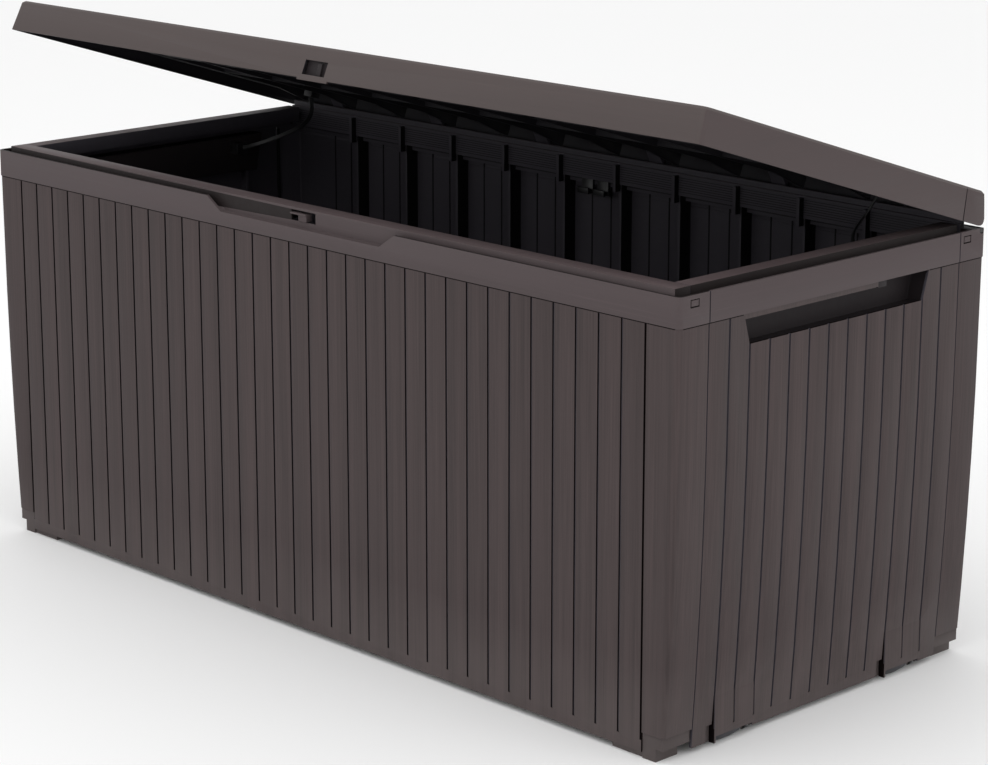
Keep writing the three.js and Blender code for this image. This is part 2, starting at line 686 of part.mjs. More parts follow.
function lidShell() {
  const outer = lidBlank(0, LID_FOOT, LID_TOP, LID_EDGE);
  const hollow = lidBlank(LID_SKIN, LID_FOOT - 1, LID_TOP - LID_SKIN, 1);
  const mouthX = [LID_SKIN - HALF_W, HALF_W - LID_SKIN];
  const mouth = block(mouthX, [LID_SKIN - HALF_D, LID_REAR + 5], [LID_FOOT - 5, LID_REAR_FOOT]);
  const window = block(
    [-LATCH_WINDOW.half, LATCH_WINDOW.half],
    [-HALF_D - 1, -HALF_D + 8],
    [LATCH_WINDOW.foot, LATCH_WINDOW.top],
  );
  const lean = LID_SEAM.depth + LID_DRAFT;
  const seams = [-1, 1].map((side) => {
    const outline = [
      [side * (HALF_W - LID_SEAM.depth), LID_FOOT - 1],
      [side * (HALF_W + 3), LID_FOOT - 1],
      [side * (HALF_W + 3), LID_TOP],
      [side * (HALF_W - lean), LID_TOP],
    ];
    const ordered = side > 0 ? outline : outline.reverse();
    return prismY(ordered, [LID_SEAM.y - LID_SEAM.width / 2, LID_SEAM.y + LID_SEAM.width / 2]);
  });
  const dipX = [-LATCH_DIP.half, LATCH_DIP.half];
  const dip = block(dipX, [-HALF_D, LID_SKIN - HALF_D], [LATCH_DIP.foot, LID_FOOT + 1]);
  return cut(outer, [hollow, mouth, window, ...seams]).add(dip);
}

// Moulded panel inside the lid: a plate with crossing ribs that run out in ramps beside the hinges.
function lidLiner() {
  const [front, rear] = LINER_Y;
  const ribZ = [LINER_RIB_FOOT, LINER_TOP - 1];
  const plate = block([-LINER_X, LINER_X], LINER_Y, [LINER_TOP - LINER_SKIN, LINER_TOP]);
  const longRibs = [front + 4, -150, -40, 70].map((y) => block([-593, 593], [y - 2, y + 2], ribZ));
  const endRibs = [-598, 598].map((x) => block([x - 2, x + 2], [front + 9, rear - 8], ribZ));
  const crossRibs = [...ribPositions(), -5.5 * RIB_SPACING, 5.5 * RIB_SPACING].map((x) => {
    const outline = [
      [front + 4, LINER_RIB_FOOT - 1],
      [RAMP.start, LINER_RIB_FOOT - 1],
      [rear - 6, RAMP.foot],
      [rear - 1, RAMP.foot],
      [rear - 1, LINER_TOP - 1],
      [front + 4, LINER_TOP - 1],
    ];
    return prismX(outline, [x - 2.5, x + 2.5]);
  });
  return join([plate, ...longRibs, ...endRibs, ...crossRibs]);
}

function lidKnuckle(x) {
  const range = [x - LID_KNUCKLE_HALF, x + LID_KNUCKLE_HALF];
  const barrel = rodX(KNUCKLE_RADIUS, HINGE_Y, HINGE_Z, range);
  const arm = prismX(
    [
      [249.7, 520.5],
      [256, 529.3],
      [251.9, 533.5],
      [246.8, LINER_TOP - 0.4],
      [236, LINER_TOP],
      [236, 546],
      [247.6, 534.5],
    ],
    range,
  );
  return barrel.add(arm).subtract(rodX(ROD_BORE, HINGE_Y, HINGE_Z, [x - 20, x + 20]));
}

function latchTongue() {
  const plate = block([-24, 24], [-256.8, -254.6], [530, LINER_TOP - LINER_SKIN - GAP]);
  const tongue = block([2, 9], [-260.6, -256.7], [532, 547]);
  return plate.add(tongue);
}

function strapAnchor(side) {
  const x = span(side, ANCHOR.x - ANCHOR.half, ANCHOR.x + ANCHOR.half);
  return block(x, ANCHOR.y, [ANCHOR.foot, LINER_TOP - LINER_SKIN - GAP]);
}

// ---------------------------------------------------------------- check straps, in the half-open position
function lidStrap(side) {
  const path = new THREE.CatmullRomCurve3(STRAP_POINTS.map(([x, y, z]) => new THREE.Vector3(side * x, y, z)));
  const section = new THREE.Shape();
  section.absellipse(0, 0, STRAP_HALF_WIDTH, STRAP_HALF_THICKNESS, 0, Math.PI * 2);
  const geometry = new THREE.ExtrudeGeometry(section, { steps: 18, extrudePath: path, curveSegments: 4 });
  return solid(geometry);
}

// ---------------------------------------------------------------- assembly
const resin = () => new THREE.MeshStandardMaterial({ color: 0x574d4e, roughness: 0.62, metalness: 0 });
const innerResin = () => new THREE.MeshStandardMaterial({ color: 0x161517, roughness: 0.7, metalness: 0 });
const blackPlastic = () => new THREE.MeshStandardMaterial({ color: 0x0c0c0d, roughness: 0.45, metalness: 0 });
const steel = () => new THREE.MeshStandardMaterial({ color: 0x2b2b2d, roughness: 0.35, metalness: 0.9 });

function addPiece(parent, name, manifold, material) {
  const mesh = new THREE.Mesh(geometryOf(manifold), material);
  mesh.name = name;
  parent.add(mesh);
}

// Left and right copies of a piece, from a function of the side.
function addPair(parent, name, make, material) {
  addPiece(parent, `${name}_left`, make(-1), material());
  addPiece(parent, `${name}_right`, make(1), material());
}

function buildBox() {
  const box = new THREE.Group();
  addPiece(box, 'front_panel', frontPanel(), resin());
  addPiece(box, 'back_panel', backPanel(), resin());
  addPiece(box, 'side_panel_left', endWall(false).rotate([0, 0, 180]), resin());
  addPiece(box, 'side_panel_right', endWall(true), resin());
  addPiece(box, 'base_pan', basePan(), resin());
  addPiece(box, 'handle_pocket_left', handleCup().rotate([0, 0, 180]), innerResin());
  addPiece(box, 'handle_pocket_right', handleCup(), innerResin());
  addPair(box, 'corner_snap_front', (side) => snapTab(side, SNAP_WINDOW.frontY), resin);
  addPair(box, 'corner_snap_rear', (side) => snapTab(side, SNAP_WINDOW.rearY), resin);
  addPiece(box, 'latch_keeper', latchKeeper(), resin());
  addPair(box, 'hook', innerHook, blackPlastic);
  addPair(box, 'strap_socket', strapSocket, blackPlastic);
  addPair(box, 'lid_strap', lidStrap, blackPlastic);
  addPiece(box, 'hinge_rod', rodX(ROD_RADIUS, HINGE_Y, HINGE_Z, [-ROD_HALF, ROD_HALF]), blackPlastic());
  ['front', 'rear'].forEach((place, index) => {
    const y = ROLLER_Y[index];
    addPiece(box, `roller_${place}`, roller(y), blackPlastic());
    addPiece(box, `axle_${place}`, axle(y), steel());
    addPiece(box, `axle_clip_${place}`, axleClip(y), blackPlastic());
  });
  return box;
}

function buildLid() {
  const closed = new THREE.Group();
  addPiece(closed, 'lid_shell', lidShell(), resin());
  addPiece(closed, 'lid_liner', lidLiner(), innerResin());
  knucklePositions().forEach((x, index) => {
    addPiece(closed, `lid_knuckle_${index + 1}`, lidKnuckle(x), innerResin());
  });
  addPiece(closed, 'latch_tongue', latchTongue(), resin());
  addPair(closed, 'strap_anchor', strapAnchor, blackPlastic);
  closed.position.set(0, -HINGE_Y, -HINGE_Z);
  const lid = new THREE.Group();
  lid.add(closed);
  lid.position.set(0, HINGE_Y, HINGE_Z);
  lid.rotation.x = -LID_OPEN_DEG * DEG;
  return lid;
}

const group = new THREE.Group();
group.add(buildBox(), buildLid());

export default group;
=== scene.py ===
"""Storage bench: the looks of a moulded resin box with planked walls, a hinged lid and rollers under one end.

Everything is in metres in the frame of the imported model: X along the width, -Y at the front, +Z up.
"""

from __future__ import annotations

import logging
import math
from dataclasses import dataclass, field
from enum import Enum
from typing import Callable, Sequence

import bmesh
import bpy
from mathutils import Matrix, Vector


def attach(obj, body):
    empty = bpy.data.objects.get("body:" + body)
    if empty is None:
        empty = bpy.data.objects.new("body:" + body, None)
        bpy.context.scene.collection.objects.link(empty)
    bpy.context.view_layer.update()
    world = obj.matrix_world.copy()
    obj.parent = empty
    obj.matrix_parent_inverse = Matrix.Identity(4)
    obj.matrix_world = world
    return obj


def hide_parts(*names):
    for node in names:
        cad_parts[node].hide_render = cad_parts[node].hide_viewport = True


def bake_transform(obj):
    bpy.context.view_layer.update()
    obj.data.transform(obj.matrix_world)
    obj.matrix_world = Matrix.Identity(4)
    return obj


LOG = logging.getLogger("storage_bench")
MM = 0.001

Colour = tuple[float, float, float]
Point = tuple[float, float, float]
Painter = Callable[[Vector, Vector], int]


# ---------------------------------------------------------------- finishes
class Grain(Enum):
    """How the moulded wood grain runs, as how often it changes per metre along X, Y and Z."""

    UPRIGHT = (430.0, 430.0, 6.0)
    LENGTHWISE = (6.0, 430.0, 430.0)
    CROSSWISE = (430.0, 6.0, 430.0)
    PEBBLED = (900.0, 900.0, 900.0)


def from_srgb(red: float, green: float, blue: float) -> Colour:
    """Turns display values from 0 to 255 into a linear colour.

    Args:
        red: Red from 0 to 255.
        green: Green from 0 to 255.
        blue: Blue from 0 to 255.

    Returns:
        The linear colour.
    """

    def linear(value: float) -> float:
        """Returns one channel in linear light."""
        share = value / 255.0
        return share / 12.92 if share <= 0.04045 else ((share + 0.055) / 1.055) ** 2.4

    return linear(red), linear(green), linear(blue)


class NodeDesk:
    """A material's node tree with short ways to add and join nodes."""

    def __init__(self, name: str) -> None:
        """Starts a material with only its shader and output.

        Args:
            name: The material's name.
        """
        self.material = bpy.data.materials.new(name)
        self.material.use_nodes = True
        self.nodes = self.material.node_tree.nodes
        self.links = self.material.node_tree.links
        self.shader = self.nodes["Principled BSDF"]

    def add(self, kind: str, **settings: object) -> bpy.types.Node:
        """Adds a node and sets its properties.

        Args:
            kind: The node's type name.
            **settings: Properties of the node.

        Returns:
            The new node.
        """
        node = self.nodes.new(kind)
        for key, value in settings.items():
            setattr(node, key, value)
        return node

    def join(self, source: bpy.types.NodeSocket, target: bpy.types.NodeSocket) -> None:
        """Links one socket to another."""
        self.links.new(source, target)

    def noise(
        self, place: bpy.types.NodeSocket, scale: Sequence[float], detail: float
    ) -> bpy.types.NodeSocket:
        """Adds noise stretched along the axes.

        Args:
            place: The coordinates to read.
            scale: How often the noise changes per metre along X, Y and Z.
            detail: The noise's octaves.

        Returns:
            The noise's value socket.
        """
        stretch = self.add("ShaderNodeMapping")
        stretch.inputs["Scale"].default_value = tuple(scale)
        self.join(place, stretch.inputs["Vector"])
        pattern = self.add("ShaderNodeTexNoise")
        pattern.inputs["Scale"].default_value = 1.0
        pattern.inputs["Detail"].default_value = detail
        pattern.inputs["Roughness"].default_value = 0.62
        self.join(stretch.outputs["Vector"], pattern.inputs["Vector"])
        return pattern.outputs["Fac"]

    def remap(
        self, value: bpy.types.NodeSocket, source: tuple[float, float], target: tuple[float, float]
    ) -> bpy.types.NodeSocket:
        """Maps one range onto another, clamped.

        Args:
            value: The value to map.
            source: The range it comes in.
            target: The range it goes to.

        Returns:
            The mapped value's socket.
        """
        node = self.add("ShaderNodeMapRange")
        node.inputs["From Min"].default_value, node.inputs["From Max"].default_value = source
        node.inputs["To Min"].default_value, node.inputs["To Max"].default_value = target
        self.join(value, node.inputs["Value"])
        return node.outputs["Result"]

    def maths(
        self, operation: str, a: bpy.types.NodeSocket, b: bpy.types.NodeSocket | float
    ) -> bpy.types.NodeSocket:
        """Combines two values.

        Args:
            operation: The Math node's operation.
            a: The first value.
            b: The second value, or a number.

        Returns:
            The result's socket.
        """
        node = self.add("ShaderNodeMath", operation=operation)
        self.join(a, node.inputs[0])
        if isinstance(b, float):
            node.inputs[1].default_value = b
        else:
            self.join(b, node.inputs[1])
        return node.outputs[0]

    def blend(
        self, share: bpy.types.NodeSocket, a: bpy.types.NodeSocket | Colour, b: bpy.types.NodeSocket | Colour
    ) -> bpy.types.NodeSocket:
        """Mixes two colours.

        Args:
            share: How much of the second colour shows.
            a: The first colour.
            b: The second colour.

        Returns:
            The mixed colour's socket.
        """
        node = self.add("ShaderNodeMix", data_type="RGBA")
        self.join(share, node.inputs["Factor"])
        for socket, colour in ((node.inputs[6], a), (node.inputs[7], b)):
            if isinstance(colour, tuple):
                socket.default_value = (*colour, 1.0)
            else:
                self.join(colour, socket)
        return node.outputs[2]

    def bump(self, height: bpy.types.NodeSocket, strength: float, depth: float) -> None:
        """Raises the surface by a height.

        Args:
            height: The height from 0 to 1.
            strength: The bump's strength.
            depth: What a height of 1 stands for, in metres.
        """
        node = self.add("ShaderNodeBump")
        node.inputs["Strength"].default_value = strength
        node.inputs["Distance"].default_value = depth
        self.join(height, node.inputs["Height"])
        self.join(node.outputs["Normal"], self.shader.inputs["Normal"])


@dataclass(frozen=True)
class Resin:
    """Through-coloured moulded resin with a fine grain.

    Attributes:
        name: The material's name.
        colour: The linear colour in the middle of its range.
        grain: How the grain runs.
        streak: How much darker and lighter the grain gets, as a share.
        roughness: The least and most roughness.
        relief: The grain's depth in metres.
        dust: How much pale dust lies on it near the floor.
        gloss: The specular level.
    """

    name: str
    colour: Colour
    grain: Grain = Grain.UPRIGHT
    streak: float = 0.16
    roughness: tuple[float, float] = (0.5, 0.68)
    relief: float = 0.00025
    dust: float = 0.0
    gloss: float = 0.2

    def shade(self, factor: float) -> Colour:
        """Returns the colour made darker or lighter."""
        red, green, blue = self.colour
        return red * factor, green * factor, blue * factor

    def make(self) -> bpy.types.Material:
        """Builds the material.

        Returns:
            The material.
        """
        desk = NodeDesk(self.name)
        place = desk.add("ShaderNodeTexCoord").outputs["Object"]
        fine = desk.noise(place, self.grain.value, 4.0)
        broad = desk.noise(place, [value * 0.13 for value in self.grain.value], 3.0)
        mottle = desk.noise(place, (5.0, 5.0, 5.0), 4.0)
        fleck = desk.noise(place, [value * 0.5 for value in self.grain.value], 2.0)
        lines = desk.maths("MULTIPLY", desk.maths("ADD", fine, broad), 0.5)
        tone = desk.remap(lines, (0.36, 0.64), (0.0, 1.0))
        ramp = desk.add("ShaderNodeValToRGB")
        ramp.color_ramp.elements[0].color = (*self.shade(1.0 - self.streak), 1.0)
        ramp.color_ramp.elements[1].color = (*self.shade(1.0 + self.streak), 1.0)
        middle = ramp.color_ramp.elements.new(0.5)
        middle.color = (*self.colour, 1.0)
        desk.join(tone, ramp.inputs["Fac"])
        pale = desk.remap(fleck, (0.66, 0.80), (0.0, 0.28))
        colour = desk.blend(pale, ramp.outputs["Color"], self.shade(1.45))
        colour = desk.blend(desk.remap(mottle, (0.35, 0.75), (0.0, 0.22)), colour, self.shade(1.18))
        if self.dust > 0.0:
            split = desk.add("ShaderNodeSeparateXYZ")
            desk.join(place, split.inputs[0])
            low = desk.remap(split.outputs["Z"], (0.0, 0.11), (self.dust, 0.0))
            patchy = desk.maths("MULTIPLY", low, desk.remap(mottle, (0.3, 0.7), (0.35, 1.0)))
            colour = desk.blend(patchy, colour, from_srgb(150, 143, 140))
        desk.join(colour, desk.shader.inputs["Base Color"])
        desk.join(desk.remap(lines, (0.35, 0.65), self.roughness), desk.shader.inputs["Roughness"])
        desk.shader.inputs["Specular IOR Level"].default_value = self.gloss
        desk.bump(lines, 0.8, self.relief)
        return desk.material


@dataclass(frozen=True)
class SatinPlastic:
    """Black or dark injection-moulded plastic with a faint texture and rubbed spots.

    Attributes:
        name: The material's name.
        colour: The linear colour.
        roughness: The least and most roughness.
        rubbed: The colour where it is rubbed.
    """

    name: str
    colour: Colour
    roughness: tuple[float, float] = (0.32, 0.5)
    rubbed: Colour = (0.03, 0.03, 0.032)

    def make(self) -> bpy.types.Material:
        """Builds the material.

        Returns:
            The material.
        """
        desk = NodeDesk(self.name)
        place = desk.add("ShaderNodeTexCoord").outputs["Object"]
        texture = desk.noise(place, (1400.0, 1400.0, 1400.0), 2.0)
        wear = desk.noise(place, (60.0, 60.0, 60.0), 4.0)
        colour = desk.blend(desk.remap(wear, (0.5, 0.75), (0.0, 0.6)), self.colour, self.rubbed)
        desk.join(colour, desk.shader.inputs["Base Color"])
        desk.join(desk.remap(wear, (0.3, 0.7), self.roughness), desk.shader.inputs["Roughness"])
        desk.bump(texture, 0.3, 0.00008)
        return desk.material


@dataclass(frozen=True)
class PlainSteel:
    """Plain steel with fine drawing lines.

    Attributes:
        name: The material's name.
        colour: The linear colour.
    """

    name: str
    colour: Colour

    def make(self) -> bpy.types.Material:
        """Builds the material.

        Returns:
            The material.
        """
        desk = NodeDesk(self.name)
        place = desk.add("ShaderNodeTexCoord").outputs["Object"]
        drawn = desk.noise(place, (1500.0, 40.0, 1500.0), 2.0)
        desk.join(
            desk.blend(drawn, self.colour, tuple(value * 1.5 for value in self.colour)),
            desk.shader.inputs["Base Color"],
        )
        desk.join(desk.remap(drawn, (0.3, 0.7), (0.25, 0.45)), desk.shader.inputs["Roughness"])
        desk.shader.inputs["Metallic"].default_value = 1.0
        desk.bump(drawn, 0.2, 0.00005)
        return desk.material


BROWN = from_srgb(64, 55, 55)
BAND_BROWN = from_srgb(74, 65, 66)

PLANK = Resin("plank_resin", BROWN, Grain.UPRIGHT, streak=0.28, relief=0.0004, dust=0.12)
BAND_LONG = Resin("band_resin_lengthwise", BAND_BROWN, Grain.LENGTHWISE, streak=0.08, relief=0.0001)
BAND_END = Resin("band_resin_crosswise", BAND_BROWN, Grain.CROSSWISE, streak=0.08, relief=0.0001)
# Painted highlight: the rim's upward top faces are paler than the band because light from above falls on
# them.
RIM_TOP_LIT = Resin("rim_top_lit_resin", from_srgb(84, 73, 74), Grain.LENGTHWISE, streak=0.05, relief=0.00006)
# Painted shadow: the gutter between band and rim lies in the lid's shadow, so it is painted near black-brown.
GUTTER_SHADOW = Resin("gutter_shadow_resin", from_srgb(30, 24, 24), Grain.PEBBLED, streak=0.08, relief=0.00006)
# Painted shade: the plank grooves and the line below the band are painted near black for the shade that falls
# in them.
GROOVE_SHADE = Resin("groove_shade_resin", from_srgb(16, 11, 11), Grain.UPRIGHT, streak=0.1, relief=0.00005, gloss=0.04)
INNER = Resin("inner_wall_resin", from_srgb(64, 61, 67), Grain.PEBBLED, streak=0.1, relief=0.00008)
# Painted shade: the sides of the inner ribs, the inner seams, the ledge and lip lines and the seam beads are
# painted near black for the shade inside the box.
INNER_SHADE = Resin("inner_shade_resin", from_srgb(14, 13, 14), Grain.PEBBLED, streak=0.1, relief=0.00008)
# Painted shade: the handle cups take a resin darker than the walls for the shade inside the pockets; the
# latch tongue uses it too.
CUP_SHADE = Resin("handle_cup_shade_resin", from_srgb(36, 31, 33), Grain.PEBBLED, streak=0.1, relief=0.00008)
LINER = Resin("lid_liner_resin", from_srgb(34, 32, 36), Grain.PEBBLED, streak=0.12, relief=0.0001)
LID_LONG = Resin("lid_resin_lengthwise", from_srgb(75, 67, 66), Grain.LENGTHWISE, streak=0.07, relief=0.00012)
LID_END = Resin("lid_resin_crosswise", from_srgb(72, 63, 63), Grain.CROSSWISE, streak=0.07, relief=0.00012)
BASE = Resin("base_resin", from_srgb(60, 52, 52), Grain.PEBBLED, streak=0.08, dust=0.2)
BLACK = SatinPlastic("black_satin_plastic", from_srgb(18, 18, 19))
TREAD = SatinPlastic("roller_tread_plastic", from_srgb(42, 42, 46), (0.4, 0.6), from_srgb(66, 66, 70))
STEEL = PlainSteel("axle_steel", from_srgb(120, 120, 124))


class Finishes:
    """Makes each finish once and hands it out."""

    def __init__(self) -> None:
        """Starts with nothing made."""
        self._made: dict[str, bpy.types.Material] = {}

    def get(self, finish: Resin | SatinPlastic | PlainSteel) -> bpy.types.Material:
        """Returns the finish's material, built at its first use.

        Args:
            finish: The finish.

        Returns:
            Its material.
        """
        if finish.name not in self._made:
            self._made[finish.name] = finish.make()
        return self._made[finish.name]


FINISHES = Finishes()


# ---------------------------------------------------------------- mesh helpers
def settle(obj: bpy.types.Object, sharp_degrees: float = 40.0) -> bpy.types.Object:
    """Turns an object and its modifiers into a plain smooth-shaded mesh at the origin.

    Args:
        obj: The object.
        sharp_degrees: Edges bent further than this stay sharp.

    Returns:
        The object that holds the plain mesh.
    """
    name = obj.name
    bpy.context.view_layer.update()
    evaluated = obj.evaluated_get(bpy.context.evaluated_depsgraph_get())
    mesh = bpy.data.meshes.new_from_object(evaluated)
    mesh.transform(obj.matrix_world)
    bpy.data.objects.remove(obj)
    plain = bpy.data.objects.new(name, mesh)
    plain.name = name
    mesh.name = name
    bpy.context.scene.collection.objects.link(plain)
    mesh.shade_smooth()
    mesh.set_sharp_from_angle(angle=math.radians(sharp_degrees))
    return plain


def merged_copy(node: str) -> bmesh.types.BMesh:
    """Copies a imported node's mesh with its doubles merged and its flat faces joined.

    Args:
        node: The node's name.

    Returns:
        The copy.
    """
    shape = bmesh.new()
    shape.from_mesh(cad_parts[node].data)
    bmesh.ops.remove_doubles(shape, verts=shape.verts, dist=0.01 * MM)
    bmesh.ops.dissolve_limit(
        shape, angle_limit=math.radians(0.6), verts=shape.verts, edges=shape.edges, delimit={"NORMAL"}
    )
    return shape


def eased(
    name: str,
    nodes: Sequence[str],
    finishes: Sequence[Resin | SatinPlastic | PlainSteel],
    paint: Painter | None = None,
    edge: float = 0.5 * MM,
) -> bpy.types.Object:
    """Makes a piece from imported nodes, with every hard edge rounded over.

    Args:
        name: The piece's name.
        nodes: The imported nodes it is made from.
        finishes: Its finishes.
        paint: Gives a face's finish from its centre and normal.
        edge: The edge radius in metres.

    Returns:
        The piece.
    """
    shape = bmesh.new()
    for node in nodes:
        part = merged_copy(node)
        mesh = bpy.data.meshes.new(node)
        part.to_mesh(mesh)
        part.free()
        shape.from_mesh(mesh)
        bpy.data.meshes.remove(mesh)
    if paint is not None:
        for face in shape.faces:
            face.material_index = paint(face.calc_center_median(), face.normal)
    mesh = bpy.data.meshes.new(name)
    shape.to_mesh(mesh)
    shape.free()
    for finish in finishes:
        mesh.materials.append(FINISHES.get(finish))
    piece = bpy.data.objects.new(name, mesh)
    bpy.context.scene.collection.objects.link(piece)
    mesh.shade_smooth()
    round_over = piece.modifiers.new("edges", "BEVEL")
    round_over.width = edge
    round_over.segments = 2
    round_over.limit_method = "ANGLE"
    round_over.angle_limit = math.radians(28.0)
    round_over.harden_normals = True
    round_over.use_clamp_overlap = True
    return settle(piece)


def enrol(piece: bpy.types.Object, body: str, replaced: Sequence[str] = ()) -> None:
    """Puts a finished piece on its body and logs it.

    Args:
        piece: The piece.
        body: The body it rides on.
        replaced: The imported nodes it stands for.
    """
    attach(piece, body)
    if replaced:
        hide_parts(*replaced)
    LOG.info("%s on %s: %d faces", piece.name, body, len(piece.data.polygons))


# ---------------------------------------------------------------- repeated pieces
class NodeTree:
    """A geometry node tree with named inputs."""

    def __init__(self, name: str, inputs: dict[str, tuple[str, object]]) -> None:
        """Starts a tree.

        Args:
            name: The tree's name.
            inputs: Each input's name with its socket type and default.
        """
        self.tree = bpy.data.node_groups.new(name, "GeometryNodeTree")
        self.identifiers: dict[str, str] = {}
        face = self.tree.interface
        face.new_socket("Geometry", in_out="INPUT", socket_type="NodeSocketGeometry")
        for key, (kind, default) in inputs.items():
            socket = face.new_socket(key, in_out="INPUT", socket_type=kind)
            if default is not None:
                socket.default_value = default
            self.identifiers[key] = socket.identifier
        face.new_socket("Geometry", in_out="OUTPUT", socket_type="NodeSocketGeometry")
        self.source = self.tree.nodes.new("NodeGroupInput")
        self.output = self.tree.nodes.new("NodeGroupOutput")

    def add(
        self, kind: str, links: dict[str | int, object] | None = None, **settings: object
    ) -> bpy.types.Node:
        """Adds a node.

        Args:
            kind: The node's type name.
            links: For each input, a socket to link or a value to set.
            **settings: Properties of the node.

        Returns:
            The new node.
        """
        node = self.tree.nodes.new(kind)
        for key, value in settings.items():
            setattr(node, key, value)
        for key, value in (links or {}).items():
            if isinstance(value, bpy.types.NodeSocket):
                self.tree.links.new(value, node.inputs[key])
            else:
                node.inputs[key].default_value = value
        return node

    def finish(self, geometry: bpy.types.NodeSocket) -> None:
        """Ends the tree by making instances real and setting the material.

        Args:
            geometry: The geometry to end with.
        """
        real = self.add("GeometryNodeRealizeInstances", {"Geometry": geometry})
        dressed = self.add(
            "GeometryNodeSetMaterial",
            {"Geometry": real.outputs["Geometry"], "Material": self.source.outputs["Finish"]},
        )
        self.tree.links.new(dressed.outputs["Geometry"], self.output.inputs["Geometry"])

    def grow(
        self, name: str, values: dict[str, object], base: bpy.types.ID | None = None
    ) -> bpy.types.Object:
        """Runs the tree on an object and keeps the result as a plain mesh.

        Args:
            name: The piece's name.
            values: The inputs' values.
            base: The mesh or curve the tree starts from, or nothing.

        Returns:
            The piece.
        """
        obj = bpy.data.objects.new(name, base or bpy.data.meshes.new(name))
        modifier = obj.modifiers.new("shape", "NODES")
        modifier.node_group = self.tree
        for key, value in values.items():
            modifier[self.identifiers[key]] = value
        bpy.context.scene.collection.objects.link(obj)
        return settle(obj)


def bar_row_tree() -> NodeTree:
    """Builds the tree for a row of equal bars.

    Returns:
        The tree, with inputs Count, Start, Step, Size and Finish.
    """
    tree = NodeTree(
        "bar_row",
        {
            "Count": ("NodeSocketInt", 2),
            "Start": ("NodeSocketVector", None),
            "Step": ("NodeSocketVector", None),
            "Size": ("NodeSocketVector", None),
            "Finish": ("NodeSocketMaterial", None),
        },
    )
    inputs = tree.source.outputs
    line = tree.add(
        "GeometryNodeMeshLine",
        {"Count": inputs["Count"], "Start Location": inputs["Start"], "Offset": inputs["Step"]},
    )
    bar = tree.add("GeometryNodeMeshCube", {"Size": inputs["Size"]})
    row = tree.add(
        "GeometryNodeInstanceOnPoints",
        {"Points": line.outputs["Mesh"], "Instance": bar.outputs["Mesh"]},
    )
    tree.finish(row.outputs["Instances"])
    return tree


def rib_ring_tree() -> NodeTree:
    """Builds the tree for ribs set round an axis along Y.

    Returns:
        The tree, with inputs Count, Radius, Size, Centre and Finish.
    """
    tree = NodeTree(
        "rib_ring",
        {
            "Count": ("NodeSocketInt", 24),
            "Radius": ("NodeSocketFloat", 0.01),
            "Size": ("NodeSocketVector", None),
            "Centre": ("NodeSocketVector", None),
            "Finish": ("NodeSocketMaterial", None),
        },
    )
    inputs = tree.source.outputs
    circle = tree.add(
        "GeometryNodeMeshCircle", {"Vertices": inputs["Count"], "Radius": inputs["Radius"]}
    )
    place = tree.add("GeometryNodeInputPosition")
    facing = tree.add(
        "FunctionNodeAlignEulerToVector", {"Vector": place.outputs["Position"]}, axis="X", pivot_axis="Z"
    )
    rib = tree.add("GeometryNodeMeshCube", {"Size": inputs["Size"]})
    ring = tree.add(
        "GeometryNodeInstanceOnPoints",
        {
            "Points": circle.outputs["Mesh"],
            "Instance": rib.outputs["Mesh"],
            "Rotation": facing.outputs["Rotation"],
        },
    )
    stand = tree.add(
        "GeometryNodeTransform",
        {"Geometry": ring.outputs["Instances"], "Rotation": (math.pi / 2, 0.0, 0.0)},
    )
    moved = tree.add(
        "GeometryNodeTransform",
        {"Geometry": stand.outputs["Geometry"], "Translation": inputs["Centre"]},
    )
    tree.finish(moved.outputs["Geometry"])
    return tree


def strap_tree() -> NodeTree:
    """Builds the tree that sweeps a flat strap along a curve.

    Returns:
        The tree, with inputs Width, Thickness and Finish.
    """
    tree = NodeTree(
        "strap_sweep",
        {
            "Width": ("NodeSocketFloat", 0.006),
            "Thickness": ("NodeSocketFloat", 0.002),
            "Finish": ("NodeSocketMaterial", None),
        },
    )
    inputs = tree.source.outputs
    outline = tree.add(
        "GeometryNodeCurvePrimitiveQuadrilateral",
        {"Width": inputs["Width"], "Height": inputs["Thickness"]},
        mode="RECTANGLE",
    )
    rounded = tree.add(
        "GeometryNodeFilletCurve",
        {"Curve": outline.outputs["Curve"], "Radius": 0.0008},
        mode="POLY",
    )
    swept = tree.add(
        "GeometryNodeCurveToMesh",
        {"Curve": inputs["Geometry"], "Profile Curve": rounded.outputs["Curve"], "Fill Caps": True},
    )
    tree.finish(swept.outputs["Mesh"])
    return tree


def route_curve(route: Sequence[Point]) -> bpy.types.Curve:
    """Makes a smooth curve through points.

    Args:
        route: The points.

    Returns:
        The curve.
    """
    curve = bpy.data.curves.new("route", "CURVE")
    curve.dimensions = "3D"
    spline = curve.splines.new("BEZIER")
    spline.bezier_points.add(len(route) - 1)
    spline.resolution_u = 6
    for point, place in zip(spline.bezier_points, route):
        point.co = place
        point.handle_left_type = point.handle_right_type = "AUTO"
    return curve


